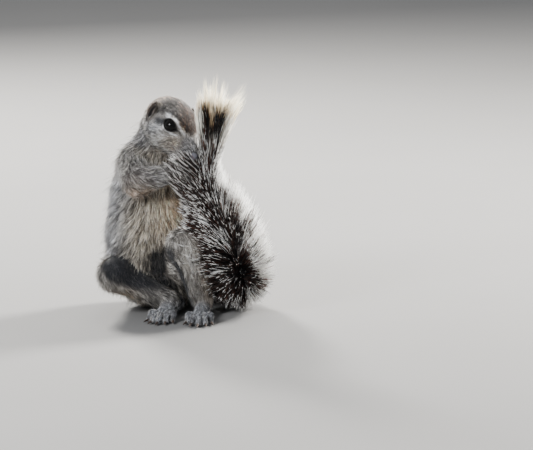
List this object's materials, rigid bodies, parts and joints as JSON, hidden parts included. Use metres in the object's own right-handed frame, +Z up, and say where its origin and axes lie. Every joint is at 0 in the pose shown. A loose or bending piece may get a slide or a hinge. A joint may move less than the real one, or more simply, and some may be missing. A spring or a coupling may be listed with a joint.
{
  "type": "cape ground squirrel",
  "caption": "Life-size still model of a Cape ground squirrel sitting on its haunches and grooming its raised tail.",
  "frame": {"origin": "on the floor under the middle of the rump, on the small flat that the squirrel sits on", "axes": "+Z up, the squirrel faces -Y, its left side is +X, and its tail stands at its left front"},
  "size_m": [0.1356, 0.1346, 0.1819],
  "materials": {
    "coat_head": "short close fur, grizzled brown and buff, with a pale line above and below the eye",
    "coat_body": "coarse thin fur, cream white below and grizzled cinnamon above, with a white stripe along each side",
    "coat_limbs": "short fur, grizzled grey brown, dark bare skin inside the thighs",
    "coat_tail": "long coarse hairs banded brown black with white tips",
    "eye": "wet, very dark brown",
    "skin": "bare grey skin of the nose, ears and pads",
    "claw": "dark horn, paler at the tip"
  },
  "bodies": {
    "root": {"head": "coat_head", "neck": "coat_body", "trunk_upper": "coat_body", "trunk_lower": "coat_body", "upper_arm_r": "coat_limbs", "forearm_r": "coat_limbs", "hand_r": "coat_limbs", "upper_arm_l": "coat_limbs", "forearm_l": "coat_limbs", "hand_l": "coat_limbs", "thigh_r": "coat_limbs", "shank_r": "coat_limbs", "foot_r": "coat_limbs", "thigh_l": "coat_limbs", "shank_l": "coat_limbs", "foot_l": "coat_limbs", "tail_1": "coat_tail", "tail_2": "coat_tail", "tail_3": "coat_tail", "tail_4": "coat_tail", "tail_5": "coat_tail", "eye_r": "eye", "eye_l": "eye", "ear_r": "skin", "ear_l": "skin", "nose": "skin"}
  },
  "joints": []
}
